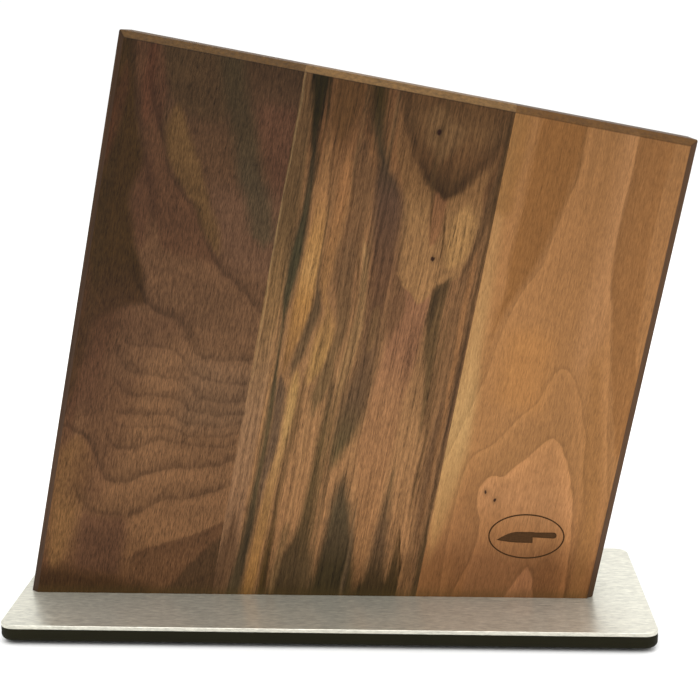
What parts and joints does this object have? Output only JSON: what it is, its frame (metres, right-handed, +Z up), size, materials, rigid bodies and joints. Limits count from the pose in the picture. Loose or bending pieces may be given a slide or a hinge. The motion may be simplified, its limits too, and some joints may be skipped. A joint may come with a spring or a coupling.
{
  "type": "magnetic knife block",
  "caption": "Free-standing magnetic knife block: leaning walnut panels over hidden magnets on a brushed steel plate with a black underboard and feet. It holds knife blades on either face.",
  "frame": {"origin": "on the table, at the centre of the whole object's footprint box (the block's top right corner overhangs the base)", "axes": "+Z up, +X to the right across the front, -Y out of the front face"},
  "size_m": [0.3166, 0.12, 0.2761],
  "materials": {
    "walnut_dark": "oiled dark walnut heartwood, satin",
    "walnut_figured": "oiled walnut with dark and golden streaks, satin",
    "walnut_light": "oiled light walnut, satin",
    "dowel_beech": "plain beech",
    "magnet_nickel": "nickel-plated neodymium",
    "keeper_steel": "plain rolled steel",
    "insert_brass": "turned brass",
    "screw_steel": "zinc-plated steel",
    "brushed_plate": "stainless steel, brushed along its length",
    "black_board": "black through-coloured board, matt edges",
    "foot_rubber": "matt rubber"
  },
  "bodies": {
    "root": {"front_stave_left": "walnut_dark", "front_stave_centre": "walnut_figured", "front_stave_right": "walnut_light", "rear_stave_left": "walnut_light", "rear_stave_centre": "walnut_figured", "rear_stave_right": "walnut_dark", "panel_dowels": "dowel_beech", "threaded_inserts": "insert_brass", "fixing_screws": "screw_steel", "steel_plate": "brushed_plate", "base_board": "black_board", "front_magnets_top": "magnet_nickel", "front_keeper_top": "keeper_steel", "front_magnets_middle": "magnet_nickel", "front_keeper_middle": "keeper_steel", "front_magnets_bottom": "magnet_nickel", "front_keeper_bottom": "keeper_steel", "rear_magnets_top": "magnet_nickel", "rear_keeper_top": "keeper_steel", "rear_magnets_middle": "magnet_nickel", "rear_keeper_middle": "keeper_steel", "rear_magnets_bottom": "magnet_nickel", "rear_keeper_bottom": "keeper_steel", "foot_front_left": "foot_rubber", "foot_front_right": "foot_rubber", "foot_rear_left": "foot_rubber", "foot_rear_right": "foot_rubber"}
  },
  "joints": []
}
